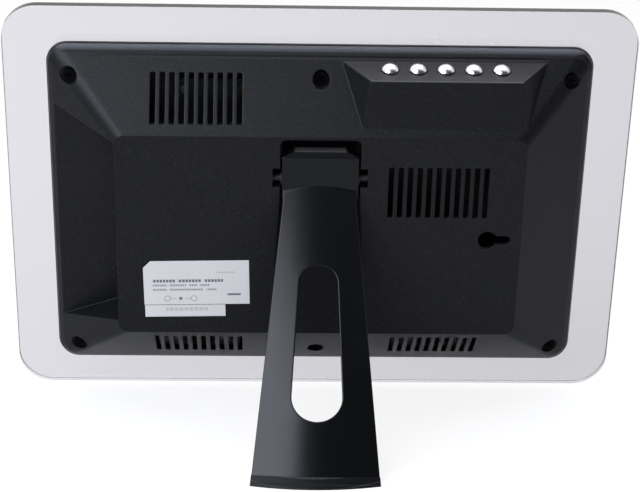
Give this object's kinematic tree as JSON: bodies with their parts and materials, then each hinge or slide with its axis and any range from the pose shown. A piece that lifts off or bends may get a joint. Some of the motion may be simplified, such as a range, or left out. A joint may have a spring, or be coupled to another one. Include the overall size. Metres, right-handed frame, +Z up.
{
  "type": "digital photo frame",
  "caption": "Desktop digital photo frame seen as a clear front plate, a vented black rear cover with side sockets and top buttons, and a slotted stand leg that folds flat.",
  "frame": {"origin": "On the surface that the frame stands on, below the middle of its bounding box.", "axes": "+X along the plate, to the left as seen from the rear; +Y rearwards, towards the stand leg; +Z up. The plate leans back 10 degrees."},
  "size_m": [0.3, 0.1374, 0.2008],
  "materials": {
    "clear_acrylic": "polished clear acrylic",
    "black_tape": "matt black double-sided mask tape",
    "black_plastic": "satin black moulded plastic",
    "textured_black": "black moulded plastic with a fine spark-eroded texture",
    "leg_plastic": "satin black moulded plastic with a fine texture",
    "foot_rubber": "matt black rubber",
    "dark_glass": "dark display glass",
    "white_plastic": "white light guide with films",
    "lamp_glass": "white lamp tube",
    "zinc_steel": "zinc-plated sheet steel",
    "zinc_screws": "bright zinc-plated screws",
    "black_screws": "blackened steel screws",
    "green_board": "green solder mask",
    "brass_standoffs": "turned brass",
    "black_chips": "black chip moulding",
    "fin_aluminium": "natural extruded aluminium",
    "can_aluminium": "bright aluminium cans",
    "ferrite": "grey ferrite",
    "socket_metal": "plated socket shells",
    "socket_plastic": "black moulded socket body",
    "yellow_tape": "yellow winding tape",
    "speaker_frame": "black speaker basket",
    "speaker_paper": "dark paper cone",
    "switch_plastic": "black tactile switches",
    "button_chrome": "bright chromed domes",
    "polished_pin": "ground steel",
    "spring_steel": "spring steel",
    "amber_film": "amber flexible circuit",
    "grey_wire": "grey sleeved wires",
    "red_wire": "red wires",
    "white_wire": "white high-voltage wire",
    "label_paper": "plain silver-grey sticker"
  },
  "bodies": {
    "frame": {"acrylic_plate": "clear_acrylic", "mask_tape": "black_tape", "front_housing": "black_plastic", "lcd_glass": "dark_glass", "light_guide": "white_plastic", "backlight_lamp": "lamp_glass", "lcd_tray": "zinc_steel", "chassis_plate": "zinc_steel", "chassis_screws": "zinc_screws", "rear_cover": "textured_black", "cover_screws": "black_screws", "main_board": "green_board", "board_standoffs": "brass_standoffs", "board_screws": "zinc_screws", "processor": "black_chips", "heat_sink": "fin_aluminium", "board_chips": "black_chips", "capacitors": "can_aluminium", "coil": "ferrite", "card_slot": "socket_metal", "usb_socket": "socket_metal", "mini_usb_socket": "socket_metal", "dc_socket": "socket_plastic", "inverter_board": "green_board", "inverter_transformer": "yellow_tape", "inverter_screws": "zinc_screws", "speaker_left": "speaker_frame", "speaker_right": "speaker_frame", "speaker_cone_left": "speaker_paper", "speaker_cone_right": "speaker_paper", "button_board": "green_board", "button_switches": "switch_plastic", "button_board_screws": "zinc_screws", "hinge_bracket": "zinc_steel", "bracket_screws": "zinc_screws", "hinge_pin": "polished_pin", "pin_clips": "spring_steel", "friction_washers": "spring_steel", "lcd_ribbon": "amber_film", "button_cable": "grey_wire", "speaker_cable": "red_wire", "lamp_cable": "white_wire", "main_label": "label_paper", "strip_label": "label_paper"},
    "leg": {"stand_leg": "leg_plastic", "foot_pad": "foot_rubber"},
    "button_body_1": {"button_1": "button_chrome"},
    "button_body_2": {"button_2": "button_chrome"},
    "button_body_3": {"button_3": "button_chrome"},
    "button_body_4": {"button_4": "button_chrome"},
    "button_body_5": {"button_5": "button_chrome"}
  },
  "joints": [
    {"name": "leg_hinge", "type": "hinge", "parent": "frame", "child": "leg", "pos_m": [0, -0.01635, 0.12192], "axis": [-1, 0, 0], "range_deg": [0, 31]},
    {"name": "button_1_press", "type": "slide", "parent": "frame", "child": "button_body_1", "axis": [0, -0.3746, -0.9272], "range_m": [0, 0.0006], "stiffness_N_per_m": 800},
    {"name": "button_2_press", "type": "slide", "parent": "frame", "child": "button_body_2", "axis": [0, -0.3746, -0.9272], "range_m": [0, 0.0006], "stiffness_N_per_m": 800},
    {"name": "button_3_press", "type": "slide", "parent": "frame", "child": "button_body_3", "axis": [0, -0.3746, -0.9272], "range_m": [0, 0.0006], "stiffness_N_per_m": 800},
    {"name": "button_4_press", "type": "slide", "parent": "frame", "child": "button_body_4", "axis": [0, -0.3746, -0.9272], "range_m": [0, 0.0006], "stiffness_N_per_m": 800},
    {"name": "button_5_press", "type": "slide", "parent": "frame", "child": "button_body_5", "axis": [0, -0.3746, -0.9272], "range_m": [0, 0.0006], "stiffness_N_per_m": 800}
  ]
}
